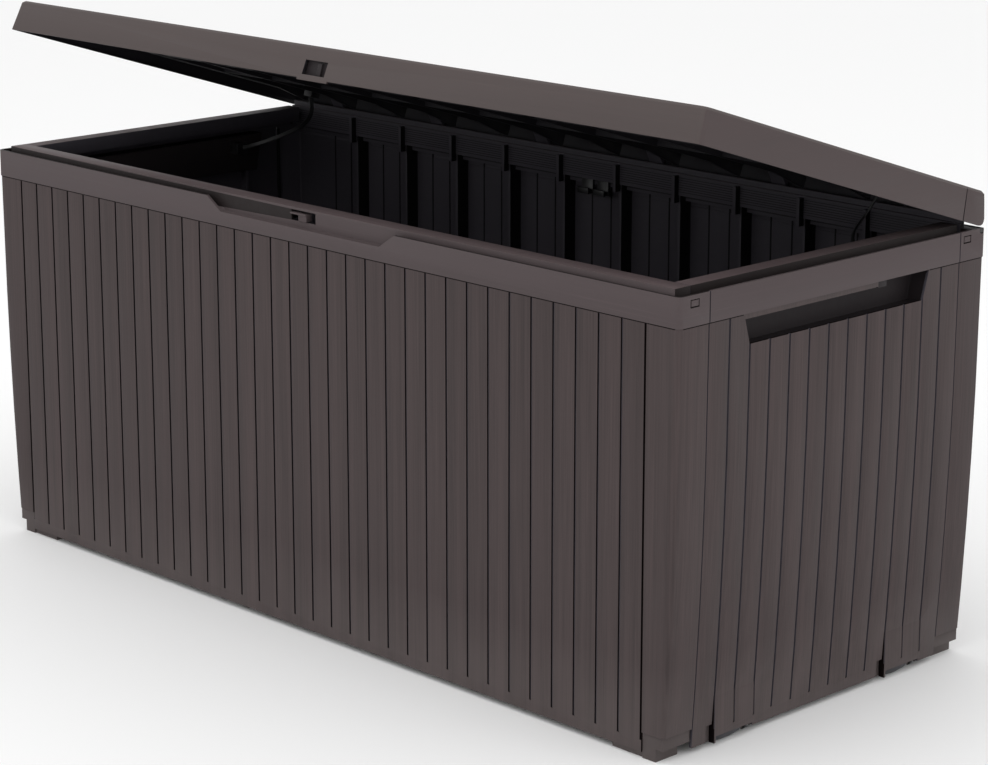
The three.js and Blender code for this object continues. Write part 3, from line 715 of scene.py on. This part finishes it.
# ---------------------------------------------------------------- the box
@dataclass
class WallPaint:
    """Says which finish each face of the outer walls takes.

    Attributes:
        half_width: Half the width over the band.
        half_depth: Half the depth over the band.
        band_foot: Where the planks end and the band starts.
        band_top: The band's top edge.
        bow: How far the ends pull in at the foot.
        bow_power: How late the ends start to pull in.
        foot: The lower edge of the walls.
        skin: How deep the outer finish reaches.
        groove_shade: How deep the painted groove shade reaches.
        corner_reach: How near both faces a rounded corner's faces lie.
        finishes: The finishes it chooses from.
    """

    half_width: float = 615 * MM
    half_depth: float = 264 * MM
    band_foot: float = 491 * MM
    band_top: float = 525.5 * MM
    bow: float = 16 * MM
    bow_power: float = 2.2
    foot: float = 7 * MM
    skin: float = 1.45 * MM
    groove_shade: float = 2.9 * MM
    corner_reach: float = 7 * MM
    finishes: tuple[Resin, ...] = (PLANK, BAND_LONG, BAND_END, RIM_TOP_LIT, GUTTER_SHADOW, GROOVE_SHADE, INNER, INNER_SHADE)

    def end_face(self, z: float) -> float:
        """Returns how far out the bowed end walls reach at a height."""
        share = max(self.band_foot - max(z, self.foot), 0.0) / (self.band_foot - self.foot)
        return self.half_width - self.bow * share**self.bow_power

    def depth(self, place: Vector) -> float:
        """Returns how far inside the outer faces a point lies."""
        return min(self.end_face(place.z) - abs(place.x), self.half_depth - abs(place.y))

    def at_corner(self, place: Vector) -> bool:
        """Tells whether a point lies on a rounded outer corner."""
        end = self.end_face(place.z) - abs(place.x)
        return max(end, self.half_depth - abs(place.y)) < self.corner_reach

    def __call__(self, place: Vector, normal: Vector) -> int:
        """Chooses the finish of a face.

        Args:
            place: The face's centre.
            normal: The face's outward normal.

        Returns:
            The finish's place in the list.
        """
        plank, band_long, band_end, rim, gutter_shadow, groove_shade, inner, inner_shade = range(8)
        faces_end = normal.x * place.x > 0 and abs(normal.x) > 0.5
        faces_long = normal.y * place.y > 0 and abs(normal.y) > 0.5
        outward = faces_end or faces_long
        depth = self.depth(place)
        near = self.at_corner(place) and place.z > self.band_foot - 0.2 * MM
        if place.z > self.band_foot - 0.2 * MM and (depth < 1.2 * MM or near) and outward:
            return band_end if abs(normal.x) > 0.7 else band_long
        if place.z > self.band_top - 5 * MM and depth < 5 * MM and normal.z > 0.3:
            return band_long
        # Up-facing faces of the rim take the painted highlight.
        if place.z > 530 * MM and normal.z > 0.5:
            return rim
        # Faces in the gutter take the painted shadow; the finger recess keeps the band's colour.
        if place.z > 502 * MM and depth < 16.5 * MM:
            recess = abs(place.x) < 175 * MM and place.y < -253 * MM
            return band_long if recess else gutter_shadow
        if place.z > 505 * MM and place.y > 236.5 * MM:
            return inner
        rounded = self.at_corner(place)
        if (depth < self.skin or rounded) and (outward or normal.z < -0.5):
            return plank
        # Faces down in the plank grooves take the painted shade.
        if depth < self.groove_shade and place.z > 18 * MM and place.z < self.band_foot:
            return groove_shade
        # Inner faces turned along X, the sides of the ribs, take the painted shade.
        if abs(normal.x) > 0.7 and abs(place.x) < 560 * MM:
            return inner_shade
        return inner


@dataclass
class OuterWalls:
    """The four planked walls, with their grooves, ribs and gutter, painted shade in the grooves, gutter and
    inner seams, a painted highlight on the rim's top and a painted shadow line below the band.

    Attributes:
        paint: Chooses the finish of each face.
        edge: The radius of the walls' edges.
        groove_pitch: The spacing of the planks on the long walls.
        inner_seam_shades: How many seams with painted shade each long wall shows inside.
        inner_face: How far back the long walls' inner faces lie.
        seam_width: The width of an inner seam.
        seam_middle: The height of the inner seams' middles.
        seam_height: The height of an inner seam from end to end.
        ledge_face: How far back the ledge's face lies.
        ledge_height: The height of the lower of the ledge's two painted shadow lines.
        ledge_length: The length of the ledge's painted shadow lines.
        lip_y: Where the rear lip's face lies.
        lip_start: The height of the rear lip's lowest painted shade line.
        lip_lines: How many fine painted shade lines the rear lip has.
        lip_spacing: The spacing of the rear lip's lines.
        lip_length: The length of the rear lip's lines.
        shadow_line_drop: How far the middle of the painted shadow line lies below the band.
        shadow_line_height: The height of the painted shadow line below the band.
        shadow_line_depth: The thickness of the painted shadow line.
        band_step: How far the band stands proud of the planks.
        long_shadow_line: The length of the painted shadow line along a long wall.
        end_shadow_line_y: Where the middle of a painted shadow line on an end wall lies.
        end_shadow_line: The length of a painted shadow line on an end wall.
        seam_y: Where the seams beside the corners lie.
        bead: The side of the beads behind those seams.
        bead_inset: How far inside the outer face the beads lie.
        bead_range: The lowest and highest point of the beads.
        bead_steps: How many steps the beads follow the bow in.
    """

    paint: WallPaint = field(default_factory=WallPaint)
    edge: float = 0.45 * MM
    groove_pitch: float = 34.3 * MM
    inner_seam_shades: int = 32
    inner_face: float = 259.35 * MM
    seam_width: float = 1.8 * MM
    seam_middle: float = 258 * MM
    seam_height: float = 468 * MM
    ledge_face: float = 249.25 * MM
    ledge_height: float = 498.5 * MM
    ledge_length: float = 1178 * MM
    lip_y: float = 236 * MM
    lip_start: float = 508 * MM
    lip_lines: int = 7
    lip_spacing: float = 3 * MM
    lip_length: float = 1180 * MM
    shadow_line_drop: float = 0.7 * MM
    shadow_line_height: float = 1.1 * MM
    shadow_line_depth: float = 0.5 * MM
    band_step: float = 1 * MM
    long_shadow_line: float = 1216 * MM
    end_shadow_line_y: float = 209 * MM
    end_shadow_line: float = 96 * MM
    seam_y: float = 216 * MM
    bead: float = 4 * MM
    bead_inset: float = 6.8 * MM
    bead_range: tuple[float, float] = (34 * MM, 498 * MM)
    bead_steps: int = 12

    def seam_beads(self, sweeps: NodeTree) -> None:
        """Builds the beads that close the seams beside the corners from inside.

        Args:
            sweeps: The tree that sweeps a strip along a curve.
        """
        paint = self.paint
        low, high = self.bead_range
        for side, end in ((-1, "left"), (1, "right")):
            for depth, place in ((-1, "front"), (1, "rear")):
                route = []
                for step in range(self.bead_steps + 1):
                    z = low + (high - low) * step / self.bead_steps
                    x = paint.end_face(z) - self.bead_inset
                    route.append((side * x, depth * self.seam_y, z))
                # The beads take the painted shade finish, so the seams read dark.
                values = {"Width": self.bead, "Thickness": self.bead, "Finish": FINISHES.get(INNER_SHADE)}
                bead = sweeps.grow(f"seam_bead_{place}_{end}", values, route_curve(route))
                enrol(bead, "box")

    def build(self, rows: NodeTree) -> None:
        """Builds the walls, the painted shadow lines below the band and the painted shade of the seams, ledge
        and lip lines on their inner faces.

        Args:
            rows: The tree for rows of bars.
        """
        for name in ("front_panel", "back_panel", "side_panel_left", "side_panel_right"):
            piece = eased(f"{name}_eased", [name], self.paint.finishes, self.paint, self.edge)
            enrol(piece, "box", [name])
        # The seams, the ledge lines and the lip lines inside are thin bars in the painted shade finish.
        dark = FINISHES.get(INNER_SHADE)
        shadow_line_z = self.paint.band_foot - self.shadow_line_drop
        plank_x = self.paint.half_width - self.band_step
        plank_y = self.paint.half_depth - self.band_step
        for side, name in ((-1, "front"), (1, "back")):
            # A thin near-black strip just under the band, where the proud band shades the planks, is a
            # painted shadow line.
            band_shadow = rows.grow(
                f"{name}_band_shadow_line",
                {
                    "Count": 1,
                    "Start": (0.0, side * plank_y, shadow_line_z),
                    "Step": (0.0, 0.0, 0.0),
                    "Size": (self.long_shadow_line, self.shadow_line_depth, self.shadow_line_height),
                    "Finish": FINISHES.get(GROOVE_SHADE),
                },
            )
            enrol(band_shadow, "box")
            ends = rows.grow(
                f"{name}_end_band_shadow_lines",
                {
                    "Count": 2,
                    "Start": (-plank_x, side * self.end_shadow_line_y, shadow_line_z),
                    "Step": (2 * plank_x, 0.0, 0.0),
                    "Size": (self.shadow_line_depth, self.end_shadow_line, self.shadow_line_height),
                    "Finish": FINISHES.get(GROOVE_SHADE),
                },
            )
            enrol(ends, "box")
            first = -(self.inner_seam_shades - 1) / 2 * self.groove_pitch
            seams = rows.grow(
                f"{name}_inner_seam_shades",
                {
                    "Count": self.inner_seam_shades,
                    "Start": (first, side * self.inner_face, self.seam_middle),
                    "Step": (self.groove_pitch, 0.0, 0.0),
                    "Size": (self.seam_width, 0.9 * MM, self.seam_height),
                    "Finish": dark,
                },
            )
            enrol(seams, "box")
            lines = rows.grow(
                f"{name}_ledge_shadow_lines",
                {
                    "Count": 2,
                    "Start": (0.0, side * self.ledge_face, self.ledge_height),
                    "Step": (0.0, 0.0, 0.9 * MM),
                    "Size": (self.ledge_length, 0.5 * MM, 0.45 * MM),
                    "Finish": dark,
                },
            )
            enrol(lines, "box")
        lip_shade_lines = rows.grow(
            "rear_lip_shade_lines",
            {
                "Count": self.lip_lines,
                "Start": (0.0, self.lip_y, self.lip_start),
                "Step": (0.0, 0.0, self.lip_spacing),
                "Size": (self.lip_length, 0.7 * MM, 0.6 * MM),
                "Finish": dark,
            },
        )
        enrol(lip_shade_lines, "box")


@dataclass
class BoxFittings:
    """The smaller fixed pieces of the box.

    Attributes:
        pan_edge: The radius of the base's edges.
        soft_edge: The radius of the handle cups' and the hinge rod's edges.
        snap_edge: The radius of the snaps' and the latch keeper's edges.
        black_edge: The radius of the hooks' and the sockets' edges.
    """

    pan_edge: float = 0.6 * MM
    soft_edge: float = 0.8 * MM
    snap_edge: float = 0.4 * MM
    black_edge: float = 0.7 * MM

    def build(self) -> None:
        """Builds the base, handle cups, snaps, latch keeper, hooks and sockets."""
        pan = eased("base_pan_eased", ["base_pan"], [BASE], edge=self.pan_edge)
        enrol(pan, "box", ["base_pan"])
        for side in ("left", "right"):
            cup = f"handle_pocket_{side}"
            # The cup's darker resin is painted shade inside the pocket.
            pocket = eased(f"{cup}_eased", [cup], [CUP_SHADE], edge=self.soft_edge)
            enrol(pocket, "box", [cup])
            for place in ("front", "rear"):
                snap = f"corner_snap_{place}_{side}"
                tab = eased(f"{snap}_eased", [snap], [BAND_END], edge=self.snap_edge)
                enrol(tab, "box", [snap])
            for name in (f"hook_{side}", f"strap_socket_{side}"):
                fitting = eased(f"{name}_eased", [name], [BLACK], edge=self.black_edge)
                enrol(fitting, "box", [name])
        keeper = eased("latch_keeper_eased", ["latch_keeper"], [BAND_LONG], edge=self.snap_edge)
        enrol(keeper, "box", ["latch_keeper"])
        rod = eased("hinge_rod_eased", ["hinge_rod"], [BLACK], edge=self.soft_edge)
        enrol(rod, "box", ["hinge_rod"])


@dataclass
class Rollers:
    """The two crowned rollers with their axles and clips.

    Attributes:
        centre_x: The axles' place along the width.
        centre_z: The axles' height.
        centres_y: Where the rollers' middles are.
        ribs: How many ribs each roller's ends have.
        rib_radius: How far from the axle the ribs lie.
        rib_size: The ribs' height, thickness and length along the axle.
    """

    centre_x: float = 588 * MM
    centre_z: float = 10.3 * MM
    centres_y: tuple[float, float] = (-153.5 * MM, 145.3 * MM)
    ribs: int = 28
    rib_radius: float = 5.6 * MM
    rib_size: Point = (2.2 * MM, 0.5 * MM, 47.2 * MM)

    def build(self, rings: NodeTree) -> None:
        """Builds both rollers.

        Args:
            rings: The tree for ribs round an axis.
        """
        for place, y in zip(("front", "rear"), self.centres_y):
            body = f"roller_{place}"
            core = eased(f"{body}_core", [body], [TREAD], edge=0.7 * MM)
            enrol(core, body, [body])
            hub = rings.grow(
                f"{body}_end_ribs",
                {
                    "Count": self.ribs,
                    "Radius": self.rib_radius,
                    "Size": self.rib_size,
                    "Centre": (self.centre_x, y, self.centre_z),
                    "Finish": FINISHES.get(BLACK),
                },
            )
            enrol(hub, body)
            clip = f"axle_clip_{place}"
            enrol(eased(f"{clip}_eased", [clip], [BLACK], edge=0.6 * MM), "box", [clip])
            axle = f"axle_{place}"
            enrol(eased(f"{axle}_eased", [axle], [STEEL], edge=0.5 * MM), "box", [axle])


# ---------------------------------------------------------------- the lid
@dataclass
class Lid:
    """The lid with its liner, knuckles, latch tongue and strap anchors.

    Attributes:
        opened: How far it is open at rest, in degrees.
        hinge: The hinge axis in the Y and Z directions.
    """

    opened: float = 17.7
    hinge: tuple[float, float] = (256 * MM, 523 * MM)

    def closed(self, place: Vector) -> Vector:
        """Returns where a point of the open lid lies when the lid is shut."""
        turn = Matrix.Rotation(math.radians(self.opened), 3, "X")
        pivot = Vector((0.0, *self.hinge))
        return turn @ (place - pivot) + pivot

    def paint_shell(self, place: Vector, normal: Vector) -> int:
        """Chooses the finish of a face of the shell.

        Args:
            place: The face's centre.
            normal: The face's outward normal.

        Returns:
            0 lengthwise, 1 crosswise, 2 inside.
        """
        shut = self.closed(place)
        turned = Matrix.Rotation(math.radians(self.opened), 3, "X") @ normal
        if turned.z > 0.3:
            return 0
        outward = turned.x * shut.x > 0.3 * abs(shut.x) or turned.y * shut.y > 0.3 * abs(shut.y)
        near_edge = abs(shut.x) > 604 * MM or abs(shut.y) > 249 * MM
        inside = not (outward and near_edge)
        if inside or turned.z < -0.8 and shut.z > 540 * MM:
            return 2
        return 1 if abs(turned.x) > 0.6 else 0

    def build(self) -> None:
        """Builds the lid's pieces."""
        finishes = [LID_LONG, LID_END, LINER]
        shell = eased("lid_shell_eased", ["lid_shell"], finishes, self.paint_shell, 1.1 * MM)
        enrol(shell, "lid", ["lid_shell"])
        liner = eased("lid_liner_eased", ["lid_liner"], [LINER], edge=0.6 * MM)
        enrol(liner, "lid", ["lid_liner"])
        for number in range(1, 7):
            name = f"lid_knuckle_{number}"
            enrol(eased(f"{name}_eased", [name], [INNER], edge=0.5 * MM), "lid", [name])
        # The latch tongue takes the handle cups' darker resin, painted for shade.
        tongue = eased("latch_tongue_eased", ["latch_tongue"], [CUP_SHADE], edge=0.5 * MM)
        enrol(tongue, "lid", ["latch_tongue"])
        for side in ("left", "right"):
            name = f"strap_anchor_{side}"
            enrol(eased(f"{name}_eased", [name], [BLACK], edge=0.7 * MM), "lid", [name])


@dataclass
class CheckStraps:
    """The flexible straps that stop the lid.

    Attributes:
        route: The right-hand strap's route from the lid to the wall.
        width: The strap's width.
        thickness: The strap's thickness.
    """

    route: tuple[Point, ...] = (
        (508 * MM, 194 * MM, 556 * MM),
        (500 * MM, 187 * MM, 537 * MM),
        (498 * MM, 172 * MM, 523 * MM),
        (505 * MM, 156 * MM, 514 * MM),
        (520 * MM, 141 * MM, 505 * MM),
        (540 * MM, 128 * MM, 496 * MM),
        (566.5 * MM, 117 * MM, 487 * MM),
    )
    width: float = 6 * MM
    thickness: float = 2.4 * MM

    def build(self, sweeps: NodeTree) -> None:
        """Builds both straps.

        Args:
            sweeps: The tree that sweeps a strap.
        """
        for side, name in ((-1, "left"), (1, "right")):
            route = [(side * x, y, z) for x, y, z in self.route]
            values = {"Width": self.width, "Thickness": self.thickness, "Finish": FINISHES.get(BLACK)}
            strap = sweeps.grow(f"lid_strap_{name}_swept", values, route_curve(route))
            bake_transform(strap)
            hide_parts(f"lid_strap_{name}")
            LOG.info("%s across the hinge: %d faces", strap.name, len(strap.data.polygons))


# ---------------------------------------------------------------- surroundings
@dataclass
class Studio:
    """The floor, the lights and the camera.

    Attributes:
        eye: The camera's place.
        turn: The camera's pitch and heading in degrees.
        lens: The camera's lens in millimetres.
        shift: The camera's sideways and upward shift.
    """

    eye: Point = (2.6166, -2.4719, 1.2116)
    turn: tuple[float, float] = (76.36, 45.87)
    lens: float = 106.7
    shift: tuple[float, float] = (-0.0025, -0.0518)

    def floor(self) -> None:
        """Lays a plain pale floor."""
        mesh = bpy.data.meshes.new("floor")
        reach = 14.0
        corners = [(-reach, -reach, 0), (reach, -reach, 0), (reach, reach, 0), (-reach, reach, 0)]
        mesh.from_pydata(corners, [], [(0, 1, 2, 3)])
        desk = NodeDesk("pale_floor")
        desk.shader.inputs["Base Color"].default_value = (0.9, 0.9, 0.9, 1.0)
        desk.shader.inputs["Roughness"].default_value = 0.9
        mesh.materials.append(desk.material)
        floor = bpy.data.objects.new("floor", mesh)
        bpy.context.scene.collection.objects.link(floor)

    def area(self, name: str, place: Point, aim: Point, size: float, power: float) -> None:
        """Hangs a soft square light.

        Args:
            name: The light's name.
            place: Where it hangs.
            aim: What it points at.
            size: Its side in metres.
            power: Its power in watts.
        """
        light = bpy.data.lights.new(name, "AREA")
        light.shape = "SQUARE"
        light.size = size
        light.energy = power
        lamp = bpy.data.objects.new(name, light)
        lamp.location = place
        lamp.rotation_euler = (Vector(aim) - Vector(place)).to_track_quat("-Z", "Y").to_euler()
        bpy.context.scene.collection.objects.link(lamp)

    def build(self) -> None:
        """Builds the surroundings."""
        self.floor()
        scene = bpy.context.scene
        world = bpy.data.worlds.new("studio")
        world.use_nodes = True
        background = world.node_tree.nodes["Background"]
        background.inputs["Color"].default_value = (1.0, 1.0, 1.0, 1.0)
        background.inputs["Strength"].default_value = 1.02
        scene.world = world
        scene.view_settings.view_transform = "Standard"
        target = (0.0, 0.0, 0.3)
        self.area("key_light", (0.6, -3.6, 2.9), target, 2.4, 18.0)
        self.area("side_light", (4.0, 0.4, 2.2), target, 2.4, 16.0)
        self.area("top_light", (-0.4, -0.6, 3.4), target, 2.0, 14.0)
        camera = bpy.data.cameras.new("camera")
        camera.sensor_width = 36.0
        camera.lens = self.lens
        camera.shift_x, camera.shift_y = self.shift
        camera.clip_end = 60.0
        holder = bpy.data.objects.new("camera", camera)
        holder.location = self.eye
        holder.rotation_euler = (math.radians(self.turn[0]), 0.0, math.radians(self.turn[1]))
        scene.collection.objects.link(holder)
        scene.camera = holder


def main() -> None:
    """Builds the bench's visible pieces in order."""
    logging.basicConfig(level=logging.INFO, format="%(name)s: %(message)s")
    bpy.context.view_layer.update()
    Studio().build()
    rows = bar_row_tree()
    sweeps = strap_tree()
    walls = OuterWalls()
    walls.build(rows)
    walls.seam_beads(sweeps)
    BoxFittings().build()
    Rollers().build(rib_ring_tree())
    Lid().build()
    CheckStraps().build(sweeps)


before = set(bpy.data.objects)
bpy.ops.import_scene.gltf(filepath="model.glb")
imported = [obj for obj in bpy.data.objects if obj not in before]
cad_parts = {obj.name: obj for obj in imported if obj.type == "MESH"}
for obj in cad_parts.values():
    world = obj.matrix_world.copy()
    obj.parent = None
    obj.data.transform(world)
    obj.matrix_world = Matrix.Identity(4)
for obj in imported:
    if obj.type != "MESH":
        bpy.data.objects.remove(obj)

if __name__ == "__main__":
    main()
